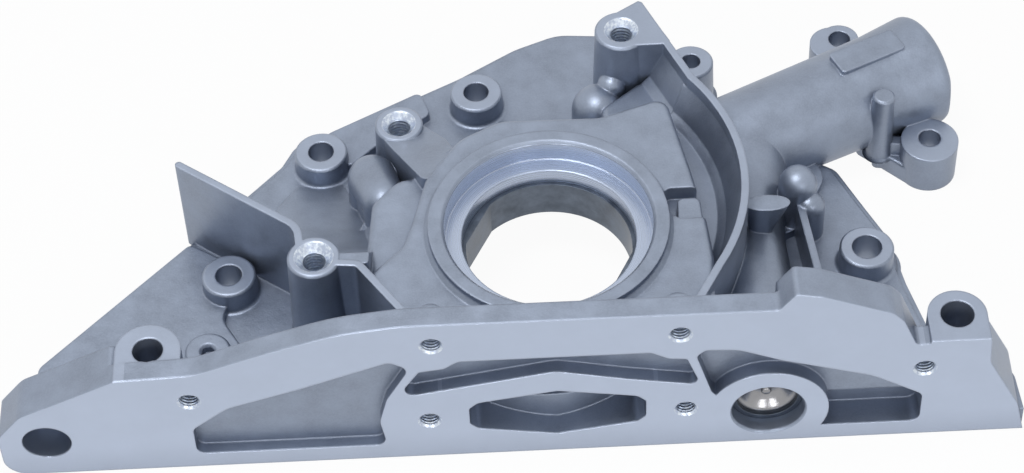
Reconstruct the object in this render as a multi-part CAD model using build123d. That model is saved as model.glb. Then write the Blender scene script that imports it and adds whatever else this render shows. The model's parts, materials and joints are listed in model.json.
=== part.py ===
from build123d import *
import math
import os

# Engine oil pump with the front crankshaft seal housing, in millimetres.
# Origin: on the crankshaft axis, in the plane of the face that bolts to the engine block.
# +Z points to the front of the engine, +X to the delivery duct, -Y to the oil sump.

# Driving dimensions of the housing
SUMP_Y = -50.0            # sump joint face
PLATE_H = 10.0            # thickness of the plate along the block face
RIM_STEP = 2.0            # width and height of the step round the plate's edge
WEB_T = 4.0               # plate left over the hollows of the block side
RIM_W = 7.0               # land round those hollows
DECK_Z = 39.0             # flat top of the pump body
SEAL_FACE_Z = 42.0        # machined front of the seal ring
RIB_Z = 43.0              # top of the curved rib and of the tall tapped bosses
RIB_T = 2.2               # thickness of ribs and fin
RAMP_RUN = 17.0           # straight part of the fillet behind the curved rib
CHANNEL_Z = 27.5          # floor between the deck and the curved rib
DECK_EDGE = 1.8           # radius along the edge of the deck

# Crankshaft seal and shaft passage
SEAL_BORE_R = 30.0
SEAL_RING_R = SEAL_BORE_R + 4.6
SEAL_DEPTH = 7.2

# Rotor pair
TEETH = 9                 # lobes of the inner rotor; the outer rotor has one more
ECCENTRICITY = 2.8
LINE_ANGLE = 150.0        # direction from the crank axis to the outer rotor's axis
LOBE_R = 6.0
DRIVE_BORE_R = 24.0
INNER_WALL = 3.6          # between the drive bore and the inner rotor's roots
OUTER_WALL = 4.0          # between the outer rotor's roots and its edge
ROTOR_T = 12.3
END_PLAY = 0.06           # of the rotors in their pocket
ROTOR_POCKET_TOP = 30.0
POCKET_DEPTH = ROTOR_T + END_PLAY
RUN_CLEARANCE = 0.08      # radial, round the outer rotor
TIP_CLEARANCE = 0.09      # between the two rotors
DRIVE_FLAT = DRIVE_BORE_R - 1.4   # from the axis to each driving flat
DRIVE_ANGLE = -27.0       # direction that the flats face

# Cover that closes the rotor pocket
COVER_T = 6.0
COVER_LAND = 2.0          # width of cover beyond the pocket's wall
COVER_GAP = 0.4           # between the cover's edge and the housing
COVER_WALL = 2.5          # wall between the cover's recess and the suction tunnel
COVER_LEAD = 3.5          # chamfer of the cover's hole, towards the crankshaft
SCREWS = 8
SCREW_START = -35.0       # angle of the first screw
SCREW_PITCH = 37.2
SCREW_OFFSET = 6.5        # from the pocket's wall to the screw circle
SCREW_R = 3.0
SCREW_HEAD_R = 5.0
SCREW_HEAD_H = 5.0
SCREW_L = 12.0
SCREW_LOBE_R = 6.2
DOWEL_R = 2.5
DOWEL_L = 10.0

# Relief valve, its axis along Y
VALVE_OFFSET = 19.22      # from the rotor pocket's wall radius to the valve's axis
VALVE_Z = 14.0
VALVE_MOUTH_R = 10.25
VALVE_MOUTH_L = 12.0
VALVE_BOSS_R = 17.0
VALVE_BORE_R = 7.0
VALVE_WALL = 3.5
VALVE_END_Y = 10.0        # inner end of the piston's bore
PISTON_L = 22.0
PISTON_T = 4.0            # head of the piston
SPRING_R = 5.4
SPRING_WIRE_R = 0.9
SPRING_TURNS = 6

# Suction flange on the sump face
INLET_HALF_W = 24.8
INLET_MID_Z = 17.7
INLET_TIP_H = 10.0        # from the middle to the two apexes
INLET_SIDE_H = 6.0        # from the middle to the side corners
FLANGE_T = 6.5            # thickness of the sump flange

# Delivery duct
DUCT_R = 16.5
DUCT_WALL = 3.5
DUCT_X = 54.0
DUCT_Y = 46.2
DUCT_ANGLE = 25.0
DUCT_L = 72.0
DUCT_END_X = 124.8        # the duct's end is cut off here
FLARE_L = 20.0            # wider end of the duct

# Screw holes
M6_R = 2.55
TAP_DEPTH = 13.0
BOLT_HOLE_R = 3.9
FIT = 0.01                # radial clearance of pressed pins and plugs


def polar(radius, angle, centre=(0, 0)):
    a = math.radians(angle)
    return (centre[0] + radius * math.cos(a), centre[1] + radius * math.sin(a))


ROTOR_AXIS = polar(ECCENTRICITY, LINE_ANGLE)
LOBE_CIRCLE_R = DRIVE_BORE_R + INNER_WALL + ECCENTRICITY + LOBE_R   # carries the outer rotor's lobes
OUTER_ROTOR_R = LOBE_CIRCLE_R + 2 * ECCENTRICITY - LOBE_R + OUTER_WALL
SHAFT_HOLE_R = DRIVE_BORE_R + 1.2
COVER_HOLE_R = SHAFT_HOLE_R + 1.0
POCKET_R = OUTER_ROTOR_R + RUN_CLEARANCE
VALVE_X = POCKET_R + VALVE_OFFSET
POCKET_FLOOR = ROTOR_POCKET_TOP - POCKET_DEPTH
COVER_BACK = POCKET_FLOOR - COVER_T
SCREW_CIRCLE_R = POCKET_R + SCREW_OFFSET
SCREW_PLACES = [polar(SCREW_CIRCLE_R, SCREW_START + i * SCREW_PITCH, ROTOR_AXIS) for i in range(SCREWS)]
DOWEL_PLACES = [polar(POCKET_R + DOWEL_R + 1.2, SCREW_START + (i + 0.5) * SCREW_PITCH, ROTOR_AXIS) for i in (0, 4)]

# Outline of the block plate: x, y and corner radius
PLATE_OUTLINE = [
    (-150.0, SUMP_Y + 1, 0), (-156.0, -38.0, 8), (-152.5, -23.0, 6), (-146.0, -19.0, 3),
    (-107.0, 25.4, 12), (-80.0, 55.0, 5), (-76.0, 63.0, 5), (-67.0, 66.0, 4), (-25.0, 88.5, 40),
    (-7.0, 100.0, 25), (6.5, 105.6, 14), (25.0, 104.0, 12), (42.0, 92.0, 4), (52.5, 78.0, 4),
    (54.5, 60.0, 2), (80.0, 49.0, 3), (88.5, 43.5, 6), (96.0, 27.0, 12), (101.2, 16.0, 12),
    (104.4, -2.0, 20), (108.5, -18.0, 4), (112.0, -28.0, 3), (124.0, -29.5, 6), (131.0, -36.0, 6),
    (132.0, SUMP_Y + 1, 0),
]

# Through holes for the block bolts: name, x, y, boss radius, boss top, hole radius
BLOCK_BOLTS = [
    ("a", -67.3, 52.7, 8.0, 17.0, BOLT_HOLE_R),
    ("b", -19.6, 74.4, 8.0, 17.0, BOLT_HOLE_R),
    ("c", -94.0, 5.5, 8.0, 17.5, BOLT_HOLE_R),
    ("e", 93.1, 5.1, 8.0, 17.5, 4.4),
    ("g", 47.4, 84.2, 7.0, 16.0, 3.0),
]
CORNER_BOLTS = [(-112.8, -39.5, 9.2, 41.0, 4.3), (111.3, -40.8, 8.3, 42.3, 4.7)]
EAR_H = 13.5
EAR_HOLE_R = 3.4
PORT_R = 9.0
PLUG_L = 5.0


def duct_point(along, across):
    """Point in the block plane, measured along the duct from its root and across it."""
    return polar(across, DUCT_ANGLE + 90, polar(along, DUCT_ANGLE, (DUCT_X, DUCT_Y)))


DUCT_EARS = [duct_point(DUCT_L - 15.3, 25.3), duct_point(DUCT_L - 12.8, -23.4)]
EAR_CASTINGS = [(*duct_point(DUCT_L - 18.2, 24.7), 7.0), (*duct_point(DUCT_L - 13.2, -24.1), 8.7)]
POST_FOOT = duct_point(DUCT_L - 25.2, -15.0)   # thin post beside the lower ear
PORT_X, PORT_Y = duct_point(DUCT_L - 1.0 - PLUG_L - PORT_R - 0.8, 0)

# Blind tapped bosses on the front: x, y, boss radius, top, width of the mouth's chamfer
TAPPED_BOSSES = [(25.1, 73.0, 8.0, RIB_Z, 1.8), (-42.9, 50.9, 7.2, 30.0, 1.8), (-66.9, -10.2, 7.6, RIB_Z, 2.3)]
M8_R = 3.3
LOW_BOSS = (-99.5, -20.5)  # small boss with a dimple, beside the left end of the sump flange

# Oil gallery on the left of the pump body: height of its shelf; x, y, radius and top of its bulges
GALLERY_Z = 33.0
GALLERY_BULGES = [(-51.5, 37.5, 7.4, 28.0), (-47.6, 24.5, 6.6, 31.5)]

# Tapped holes in the sump face: x, z
SUMP_TAPS = [(-102.2, 30.3), (-34.0, 50.3), (34.0, 50.3), (102.2, 30.3)]
INLET_TAPS = [(-36.0, 16.5), (36.0, 16.5)]
GAUGE_HOLE_X = -144.0
GAUGE_HOLE_Z = 14.5
GAUGE_HOLE_R = 6.9


def outline(points):
    """Flat face with rounded corners from (u, v, radius) points; a fillet is limited by its sides."""
    corners = [Vector(u, v) for u, v, radius in points]
    arcs = []
    for i, here in enumerate(corners):
        to_last = corners[i - 1] - here
        to_next = corners[(i + 1) % len(corners)] - here
        half = math.radians(to_last.get_angle(to_next)) / 2
        reach = min(points[i][2] / math.tan(half), 0.45 * to_last.length, 0.45 * to_next.length)
        middle = reach * (1 / math.cos(half) - math.tan(half))
        inward = to_last.normalized() + to_next.normalized()
        start, end = here + to_last.normalized() * reach, here + to_next.normalized() * reach
        arcs.append((start, here + inward.normalized() * middle, end) if reach > 0.05 else (here, here, here))
    edges = []
    for i, (start, middle, end) in enumerate(arcs):
        edges.append(Line(arcs[i - 1][2], start))
        if (end - start).length > 0.01:
            edges.append(ThreePointArc(start, middle, end))
    return make_face(edges)


def slab(points, z0, z1):
    """Upright prism over an outline in the block plane."""
    return extrude(Pos(0, 0, z0) * outline(points), z1 - z0)


def soft_slab(points, z0, z1, soft):
    """Upright prism with a rounded top edge."""
    shape = slab(points, z0, z1)
    return fillet(shape.edges().group_by(Axis.Z)[-1], soft)


def side_slab(points, x0, x1):
    """Prism along X over an outline in y and z."""
    plane = Plane(origin=(x0, 0, 0), x_dir=(0, 1, 0), z_dir=(1, 0, 0))
    return extrude(plane * outline(points), x1 - x0)


def front_slab(points, front_y, back_y):
    """Prism along Y over an outline in x and z, from front_y back to back_y."""
    plane = Plane(origin=(0, back_y, 0), x_dir=(1, 0, 0), z_dir=(0, -1, 0))
    return extrude(plane * outline(points), back_y - front_y)


def post(x, y, radius, z0, z1):
    return Pos(x, y, (z0 + z1) / 2) * Cylinder(radius, z1 - z0)


def front_post(x, z, radius, front_y, back_y):
    """Round bar along Y."""
    return Pos(x, (front_y + back_y) / 2, z) * Rot(90, 0, 0) * Cylinder(radius, back_y - front_y)


def boss(x, y, radius, z0, z1, foot=2.0, edge=0.6):
    """Cast boss: slightly drafted, with a fillet at its foot and a broken top edge."""
    flare = (z1 - z0) * math.tan(math.radians(1.5))
    base = radius + flare
    side = math.sqrt(0.5)
    profile = [
        Line((0, z0), (base + foot, z0)),
        ThreePointArc(
            (base + foot, z0),
            (base + foot - foot * side, z0 + foot - foot * side),
            (base, z0 + foot),
        ),
        Line((base, z0 + foot), (radius, z1 - edge)),
        Line((radius, z1 - edge), (radius - edge, z1)),
        Line((radius - edge, z1), (0, z1)),
        Line((0, z1), (0, z0)),
    ]
    return Pos(x, y, 0) * revolve(Plane.XZ * make_face(profile), Axis.Z)


def dome(x, y, radius, z0, z1):
    """Boss with a round top."""
    return post(x, y, radius, z0, z1 - radius) + Pos(x, y, z1 - radius) * Sphere(radius)


def rib(path, thickness, z0, z1):
    """Upright wall of even thickness along a flat path."""
    return extrude(Pos(0, 0, z0) * make_face(path.offset_2d(thickness / 2)), z1 - z0)


def tapped(depth, radius=M6_R, chamfer=0.8):
    """Cutter for a blind tapped hole, its mouth at the origin and its depth along -Z."""
    drill = Pos(0, 0, -depth / 2) * Cylinder(radius, depth)
    tip = Pos(0, 0, -depth - radius / 4) * Cone(0.01, radius, radius / 2)
    mouth = Pos(0, 0, -chamfer / 2) * Cone(radius, radius + chamfer, chamfer)
    return drill + tip + mouth


def front_tapped(x, z, depth):
    return Pos(x, SUMP_Y, z) * Rot(90, 0, 0) * tapped(depth)


def rim_plate():
    """Plate on the block face, with a step along its edge."""
    base = slab(PLATE_OUTLINE, 0, PLATE_H - RIM_STEP)
    step = Pos(0, 0, PLATE_H - RIM_STEP) * offset(outline(PLATE_OUTLINE), -RIM_STEP)
    raised_left = [
        (-151.0, SUMP_Y + 1, 1), (-148.5, -22.0, 4), (-106.5, 22.0, 2), (-88.0, 10.0, 3), (-93.5, 1.0, 5),
        (-96.0, -7.0, 6), (-91.5, -15.0, 5), (-87.5, -22.0, 4), (-87.5, SUMP_Y + 1, 1),
    ]
    raised_back = [
        (-70.0, 60.5, 2), (-64.5, 64.5, 3), (-37.0, 79.5, 2), (-34.0, 70.0, 2), (-43.0, 63.0, 3), (-51.0, 57.4, 3),
        (-58.8, 49.7, 2),
    ]
    lands = soft_slab(raised_left, PLATE_H - 1, PLATE_H + 3, 0.6) + soft_slab(raised_back, PLATE_H - 1, PLATE_H + 3, 0.6)
    return base + extrude(step, RIM_STEP) + lands


def pump_body():
    """Drum round the rotors, the flat deck and the wall that joins it to the sump flange."""
    shoulder_r = SCREW_CIRCLE_R + SCREW_LOBE_R + COVER_GAP + 3.2
    grow = Align.CENTER, Align.CENTER, Align.MIN
    shoulder = Pos(*ROTOR_AXIS, 0) * Cylinder(shoulder_r, POCKET_FLOOR, align=grow)
    slope_h = ROTOR_POCKET_TOP + 4 - POCKET_FLOOR
    slope = Pos(*ROTOR_AXIS, POCKET_FLOOR - 1) * Cone(shoulder_r - 1, POCKET_R + 3.5, slope_h, align=grow)
    deck_outline = [
        (-35.0, 21.0, 4), (-39.4, 4.0, 8), (-42.0, -4.0, 6), (-52.0, -14.5, 3), (-43.5, -28.5, 8), (-36.0, -39.0, 4),
        (-33.5, SUMP_Y + 1, 3), (44.0, SUMP_Y + 1, 3), (46.5, -14.0, 12), (45.4, 0.0, 20), (42.4, 19.0, 20),
        (36.8, 49.2, 4), (17.0, 42.2, 10), (-12.5, 42.6, 10), (-25.0, 36.0, 14),
    ]
    channel = [
        (18.0, 56.0, 4), (30.0, 66.0, 3), (39.0, 66.0, 3), (50.5, 48.0, 15), (57.0, 24.0, 20), (57.0, 4.0, 20),
        (49.0, -20.0, 10), (38.0, -38.0, 5), (20.0, 0.0, 3),
    ]
    body = shoulder + slope + soft_slab(deck_outline, 0, DECK_Z, DECK_EDGE) + soft_slab(channel, 0, CHANNEL_Z, 2.0)
    keep = Pos(0, SUMP_Y + 1 + 75, 0) * Box(220, 150, 200)
    return body & keep


def front_ribs():
    """The curved rib, the wall and fin at the left, and the bosses that they join."""
    top, middle, low = (44.6, 52.6), (57.2, 13.0), (47.4, -19.4)
    bend = ThreePointArc(top, middle, low)
    path = Wire([Line((31.2, 83.5), top), bend, Line(low, (32.2, SUMP_Y + 3))])
    curved = rib(path, RIB_T, PLATE_H - 1, RIB_Z)
    ramp = [(9.0, CHANNEL_Z - 1), (5.0, CHANNEL_Z + 2), (1.0, RIB_Z - 4), (0, CHANNEL_Z - 1)]
    section = make_face(Plane.XZ * Polyline(*[(bend.radius - depth, z) for depth, z in ramp], close=True))
    start = math.degrees(math.atan2(low[1] - bend.arc_center.Y, low[0] - bend.arc_center.X))
    turn = 71  # a little more than the bend, so that the two ramps join
    curved += Pos(bend.arc_center.X, bend.arc_center.Y, 0) * Rot(0, 0, start) * revolve(section, Axis.Z, turn)
    ahead = (Vector(31.2, 83.5) - Vector(*top)).normalized()
    across = Plane(origin=top, x_dir=(-ahead.Y, ahead.X, 0), z_dir=ahead)
    curved += extrude(across * make_face(Polyline(*ramp, close=True)), RAMP_RUN)
    corner = slab([(22.0, 66.5, 1), (17.5, 76.0, 6), (31.2, 85.0, 0.5), (40.0, 66.5, 1)], PLATE_H - 1, RIB_Z)
    wall_path = FilletPolyline(
        (-66.9, -12.0), (-54.4, -13.2), (-43.8, -28.4), (-36.5, -39.0), (-35.0, SUMP_Y + 3), radius=3.5
    )
    wall = rib(wall_path, RIB_T, PLATE_H - 1, RIB_Z)
    fin = rib(FilletPolyline((-106.5, 27.0), (-71.8, 1.6), (-70.5, -10.0), radius=7.0), RIB_T, PLATE_H - 2, RIB_Z)
    saddle_plan = [
        (-62.0, 47.0, 4), (-75.0, 45.0, 5), (-80.5, 36.0, 6), (-85.0, 12.0, 1), (-72.0, 0.5, 1),
        (-68.0, -12.0, 0), (-57.0, -13.0, 1), (-51.5, -13.0, 1), (-50.0, 12.0, 4), (-57.5, 36.0, 5),
    ]
    high = RIB_Z - 0.5
    saddle_side = [
        Line((-16, 0), (-16, high)),
        Line((-16, high), (-9, high)),
        ThreePointArc((-9, high), (11, 23), (47, PLATE_H - 0.2)),
        Line((47, PLATE_H - 0.2), (47, 0)),
        Line((47, 0), (-16, 0)),
    ]
    side_plane = Plane(origin=(-90, 0, 0), x_dir=(0, 1, 0), z_dir=(1, 0, 0))
    slope = extrude(side_plane * make_face(saddle_side), 60)
    return curved + corner + wall + fin + (slab(saddle_plan, PLATE_H - 1, RIB_Z) & slope)


def gallery():
    """Oil gallery cast along the left of the pump body: a shelf with two round bulges."""
    shelf = [
        (-51.0, 18.0, 4), (-52.5, 1.0, 4), (-52.0, -12.5, 3), (-34.0, -12.5, 3), (-32.0, 24.0, 3), (-42.0, 28.0, 6),
    ]
    shape = soft_slab(shelf, 0, GALLERY_Z, 2.4)
    for x, y, radius, top in GALLERY_BULGES:
        shape += dome(x, y, radius, 0, top)
    first, last = [Vector(x, y, top - radius) for x, y, radius, top in GALLERY_BULGES]
    thin_r = GALLERY_BULGES[1][2]
    bridge = Cone(GALLERY_BULGES[0][2], thin_r, (last - first).length, align=(Align.CENTER, Align.CENTER, Align.MIN))
    shape += Plane(origin=first, z_dir=last - first) * bridge
    shape += rib(Polyline((first.X, first.Y), (last.X, last.Y)), 2 * thin_r - 0.6, 0, first.Z)
    neck = [(-49.5, 50.0, 2), (-44.8, 39.6, 3), (-35.3, 20.2, 2), (-24.0, 30.0, 2), (-29.0, 44.0, 6), (-37.0, 54.0, 2)]
    neck_side = [(58.0, 0, 0), (58.0, 26.0, 0), (49.0, 28.0, 2), (20.2, DECK_Z - 0.3, 4), (15.0, DECK_Z - 0.3, 0), (15.0, 0, 0)]
    return shape + (slab(neck, 0, DECK_Z) & side_slab(neck_side, -60, -15))


def sump_flange():
    """Flange for the oil sump, with its thick ends and the blocks behind it."""
    contour = [
        (-157.5, 0, 7), (-157.5, 17.0, 3), (-150.0, 26.5, 8), (-140.0, 31.5, 30), (-121.5, 41.0, 2),
        (-100.0, 42.0, 20), (-80.0, 50.0, 60), (-60.0, 57.0, 60), (-42.0, 59.4, 40), (60.5, 59.0, 2),
        (65.0, 65.5, 1.5), (72.0, 64.0, 12), (92.0, 55.2, 5), (95.0, 51.5, 4), (99.0, 41.0, 2), (119.7, 42.0, 1),
        (120.3, 31.5, 6), (129.8, 11.6, 10), (132.3, 0, 0),
    ]
    wall = front_slab(contour, SUMP_Y, SUMP_Y + FLANGE_T)
    left_end = [(-157.5, 0, 7), (-157.5, 17.0, 3), (-150.0, 26.5, 8), (-140.0, 31.5, 30), (-121.5, 41.0, 2), (-116.0, 0, 0)]
    right_block = [
        (60.5, 0, 0), (60.5, 59.0, 2), (65.0, 65.5, 1.5), (72.0, 64.0, 12), (92.0, 55.2, 5), (95.0, 51.5, 4),
        (99.0, 41.0, 2), (103.0, 30.0, 2), (108.0, 0, 0),
    ]
    right_end = [(108.0, 0, 0), (108.0, 31.0, 1), (120.3, 31.5, 6), (129.8, 11.6, 10), (132.3, 0, 0)]
    blocks = front_slab(left_end, SUMP_Y, SUMP_Y + 13.5) + front_slab(right_block, SUMP_Y, SUMP_Y + 10)
    return wall + blocks + front_slab(right_end, SUMP_Y, SUMP_Y + 19)


def corner_bosses():
    """The two tall bolt bosses that run into the sump face."""
    result = Part()
    for x, y, radius, top, hole_r in CORNER_BOLTS:
        depth = y - SUMP_Y
        result += post(x, y, radius, 0, top)
        result += Pos(x, y - depth / 2, top / 2) * Box(2 * radius, depth, top)
    return result


def valve_barrel():
    """Casting round the relief valve, with the tab and thin rib beside it."""
    outer_r = VALVE_BORE_R + VALVE_WALL
    mouth = front_post(VALVE_X, VALVE_Z, VALVE_MOUTH_R + VALVE_WALL, SUMP_Y, SUMP_Y + VALVE_MOUTH_L + 3)
    barrel_l = VALVE_END_Y + 4 - SUMP_Y
    start = Plane(origin=(VALVE_X, SUMP_Y, VALVE_Z), z_dir=(0, 1, 0))
    barrel = start * Cone(VALVE_MOUTH_R + VALVE_WALL, outer_r, barrel_l, align=(Align.CENTER, Align.CENTER, Align.MIN))
    skirt = Pos(VALVE_X, SUMP_Y + barrel_l / 2, VALVE_Z / 2) * Box(2 * outer_r, barrel_l, VALVE_Z)
    tab_top = Pos(63.5, 8.0, 36.0) * Ellipse(6.6, 3.0)
    tab_foot = Pos(62.0, 9.0, 22.0) * Ellipse(3.2, 2.4)
    tab = loft([tab_foot, tab_top])
    thin = rib(Polyline((74.2, 20.0), (77.0, -7.0), (77.5, SUMP_Y + 8)), RIB_T, PLATE_H - 1, 24.0)
    domes = dome(74.2, 22.6, 5.7, PLATE_H - 1, 32.5) + dome(77.4, 18.6, 4.6, PLATE_H - 1, 26.0)
    return mouth + barrel + skirt + tab + thin + domes


def delivery_duct():
    """Duct from the pump to the block, lying on the block plane, with its ears and marks."""
    axis = Pos(DUCT_X, DUCT_Y, DUCT_R) * Rot(0, 0, DUCT_ANGLE) * Rot(0, 90, 0)
    grow = Align.CENTER, Align.CENTER, Align.MIN
    tube = Cone(DUCT_R - 1.2, DUCT_R, DUCT_L, align=grow)
    tube += Pos(0, 0, DUCT_L - FLARE_L) * Cone(DUCT_R - 0.6, DUCT_R + 1.2, FLARE_L, align=grow)
    tube = axis * fillet(tube.edges().sort_by(Axis.Z)[-1], 3.0)
    tube -= Pos(DUCT_END_X + 25, DUCT_Y, 0) * Box(50, 200, 200)
    foot = [
        (48.0, 30.0, 2), (50.0, 18.0, 4), (60.0, 10.0, 3), (74.0, 17.0, 6), (86.0, 40.0, 8), (72.0, 50.0, 6),
        (60.0, 62.0, 3), (48.0, 60.0, 3),
    ]
    neck = Plane(origin=(VALVE_X, VALVE_END_Y + 2, VALVE_Z), z_dir=(0, 1, 0.06))
    neck = neck * Cone(VALVE_BORE_R + VALVE_WALL, DUCT_R - 2, DUCT_Y - VALVE_END_Y, align=grow)
    result = tube + slab(foot, 0, 13.0) + neck
    for x, y, radius in EAR_CASTINGS:
        result += post(x, y, radius, 0, EAR_H)
    result += post(*DUCT_EARS[0], EAR_CASTINGS[0][2] - 1, 0, EAR_H)
    result += rib(Polyline(POST_FOOT, DUCT_EARS[1]), 3.4, 0, EAR_H - 2)
    lower_web = [(96.9, 56.8, 3), (102.5, 51.7, 10), (113.5, 41.2, 2), (122.0, 46.0, 2), (121.5, 72.0, 3), (96.0, 66.0, 2)]
    upper_web = [(87.0, 92.0, 2), (101.5, 92.0, 3), (108.0, 82.0, 2), (88.0, 72.0, 2)]
    result += soft_slab(lower_web, 0, EAR_H - 7, 0.9) + slab(upper_web, 0, EAR_H - 4)
    pad = Pos(DUCT_X, DUCT_Y, 0) * Rot(0, 0, DUCT_ANGLE) * Pos(DUCT_L - 21.5, 1.0, 2 * DUCT_R - 0.6) * Box(22, 8.8, 2.8)
    result += fillet(pad.edges().filter_by(Axis.Z), 1.2)
    result += boss(*POST_FOOT, 3.3, EAR_H - 8, 31.0, foot=1.0)
    return result & (Pos(98, 80, 50) * Box(100, 160, 100))


def back_hollows():
    """Hollows of the block side, between the rim, the bolt bosses and the pump body."""
    field = offset(outline(PLATE_OUTLINE), -RIM_W)
    for name, x, y, radius, top, hole_r in BLOCK_BOLTS:
        field -= Pos(x, y) * Circle(radius + 1)
    field -= Pos(*ROTOR_AXIS) * Circle(SCREW_CIRCLE_R + SCREW_LOBE_R + COVER_GAP + 4)
    for angle in (90.0, 152.0, 200.0):
        field -= Rot(0, 0, angle) * Pos(75, 0) * Rectangle(90, 4)
    left = Pos(-85, 22) * Rectangle(140, 130)
    rear = Pos(-10, 88) * Rectangle(84, 60)
    field = (field & (left + rear)) - Pos(-60, -42) * Rectangle(200, 16)
    field -= Pos(-66.9, -10.2) * Circle(9)
    return extrude(field, PLATE_H - WEB_T)


def cover_outline(grow=0.0):
    """Shape of the pump cover: a disc over the pocket, with a lobe at each screw."""
    shape = Circle(POCKET_R + COVER_LAND + grow)
    shape = Pos(*ROTOR_AXIS) * shape
    for x, y in SCREW_PLACES:
        shape += Pos(x, y) * Circle(SCREW_LOBE_R + grow)
    ring_r = SCREW_CIRCLE_R + grow
    ring = Pos(*ROTOR_AXIS) * Circle(ring_r)
    front_w = 2 * (SCREW_CIRCLE_R * math.cos(math.radians(SCREW_START)) - grow)
    front_cut = Pos(ROTOR_AXIS[0], SUMP_Y - grow) * Rectangle(front_w, 60)
    return shape + (ring - front_cut)


def port(start, end, depth, z):
    """Kidney port over the rotors, between two angles round the crank axis."""
    inner = LOBE_CIRCLE_R - LOBE_R - ECCENTRICITY + 2.0
    outer = LOBE_CIRCLE_R + ECCENTRICITY - LOBE_R + 1.5
    mid = (start + end) / 2
    edges = [
        ThreePointArc(polar(outer, start), polar(outer, mid), polar(outer, end)),
        Line(polar(outer, end), polar(inner, end)),
        ThreePointArc(polar(inner, end), polar(inner, mid), polar(inner, start)),
        Line(polar(inner, start), polar(outer, start)),
    ]
    return Pos(0, 0, z) * extrude(make_face(edges), depth)


def inlet_outline():
    """Six-sided suction opening, in x and z."""
    side = INLET_HALF_W - 2.5
    low, high = INLET_MID_Z - INLET_SIDE_H, INLET_MID_Z + INLET_SIDE_H
    return [
        (0, INLET_MID_Z - INLET_TIP_H, 4), (side, low, 3), (INLET_HALF_W, low + 2.5, 1.5),
        (INLET_HALF_W, high - 2.5, 1.5), (side, high, 3), (0, INLET_MID_Z + INLET_TIP_H, 4),
        (-side, high, 3), (-INLET_HALF_W, high - 2.5, 1.5), (-INLET_HALF_W, low + 2.5, 1.5), (-side, low, 3),
    ]


def suction_passage():
    """Six-sided tunnel from the sump face, and the way up from it to the suction port."""
    tunnel = front_slab(inlet_outline(), SUMP_Y, SUMP_Y + 20)
    wall = POCKET_R + COVER_LAND + COVER_GAP + COVER_WALL
    tunnel -= Pos(*ROTOR_AXIS, 0) * Cylinder(wall, 200)
    rise_front = SUMP_Y + 3.0
    rise_back = ROTOR_AXIS[1] - wall + 1.6
    rise = Pos(0, (rise_front + rise_back) / 2, 0) * Box(26, rise_back - rise_front, 200)
    rise &= Pos(0, 0, (INLET_MID_Z + 33) / 2) * Box(200, 200, 33 - INLET_MID_Z)
    over = Pos(0, (rise_front + SUMP_Y + 20) / 2, (ROTOR_POCKET_TOP + 33) / 2)
    over = over * Box(26, SUMP_Y + 20 - rise_front, 33 - ROTOR_POCKET_TOP)
    return tunnel + rise + over


def sump_recesses():
    """Open hollows in the sump face, left, middle and right of the suction flange."""
    left = [
        (-102.5, 6.0, 3), (-102.5, 17.5, 3), (-92.0, 26.5, 12), (-72.0, 33.5, 20), (-46.0, 44.0, 3), (-40.5, 40.5, 3),
        (-47.5, 27.0, 6), (-50.0, 17.0, 8), (-48.5, 6.0, 3),
    ]
    upper = [
        (-38.0, 39.0, 1), (-31.0, 40.0, 3), (-27.0, 43.0, 3), (26.0, 43.0, 3), (31.0, 40.0, 3), (36.0, 39.5, 1),
        (40.0, 27.5, 2), (20.0, 31.5, 8), (0, 36.5, 10), (-20.0, 32.5, 8), (-45.0, 27.5, 4),
    ]
    right = [
        (38.5, 40.5, 2), (41.0, 43.0, 2), (50.0, 42.5, 10), (62.0, 37.0, 20), (88.0, 28.0, 20), (102.3, 18.5, 3),
        (102.3, 6.0, 3), (74.0, 6.0, 2), (50.0, 14.0, 2), (43.0, 24.0, 2),
    ]
    cut = front_slab(left, SUMP_Y, SUMP_Y + 3.6)
    cut += front_slab(upper, SUMP_Y, SUMP_Y + 4.2)
    valve = front_post(VALVE_X, VALVE_Z, VALVE_BOSS_R, SUMP_Y - 1, SUMP_Y + 12)
    deep = [(64.0, 6.0, 1), (64.0, 16.0, 3), (102.3, 16.0, 1), (102.3, 6.0, 3)]
    right_cut = front_slab(right, SUMP_Y, SUMP_Y + 4.6) + front_slab(deep, SUMP_Y, SUMP_Y + 8.5) - valve
    return cut + right_cut


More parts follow.
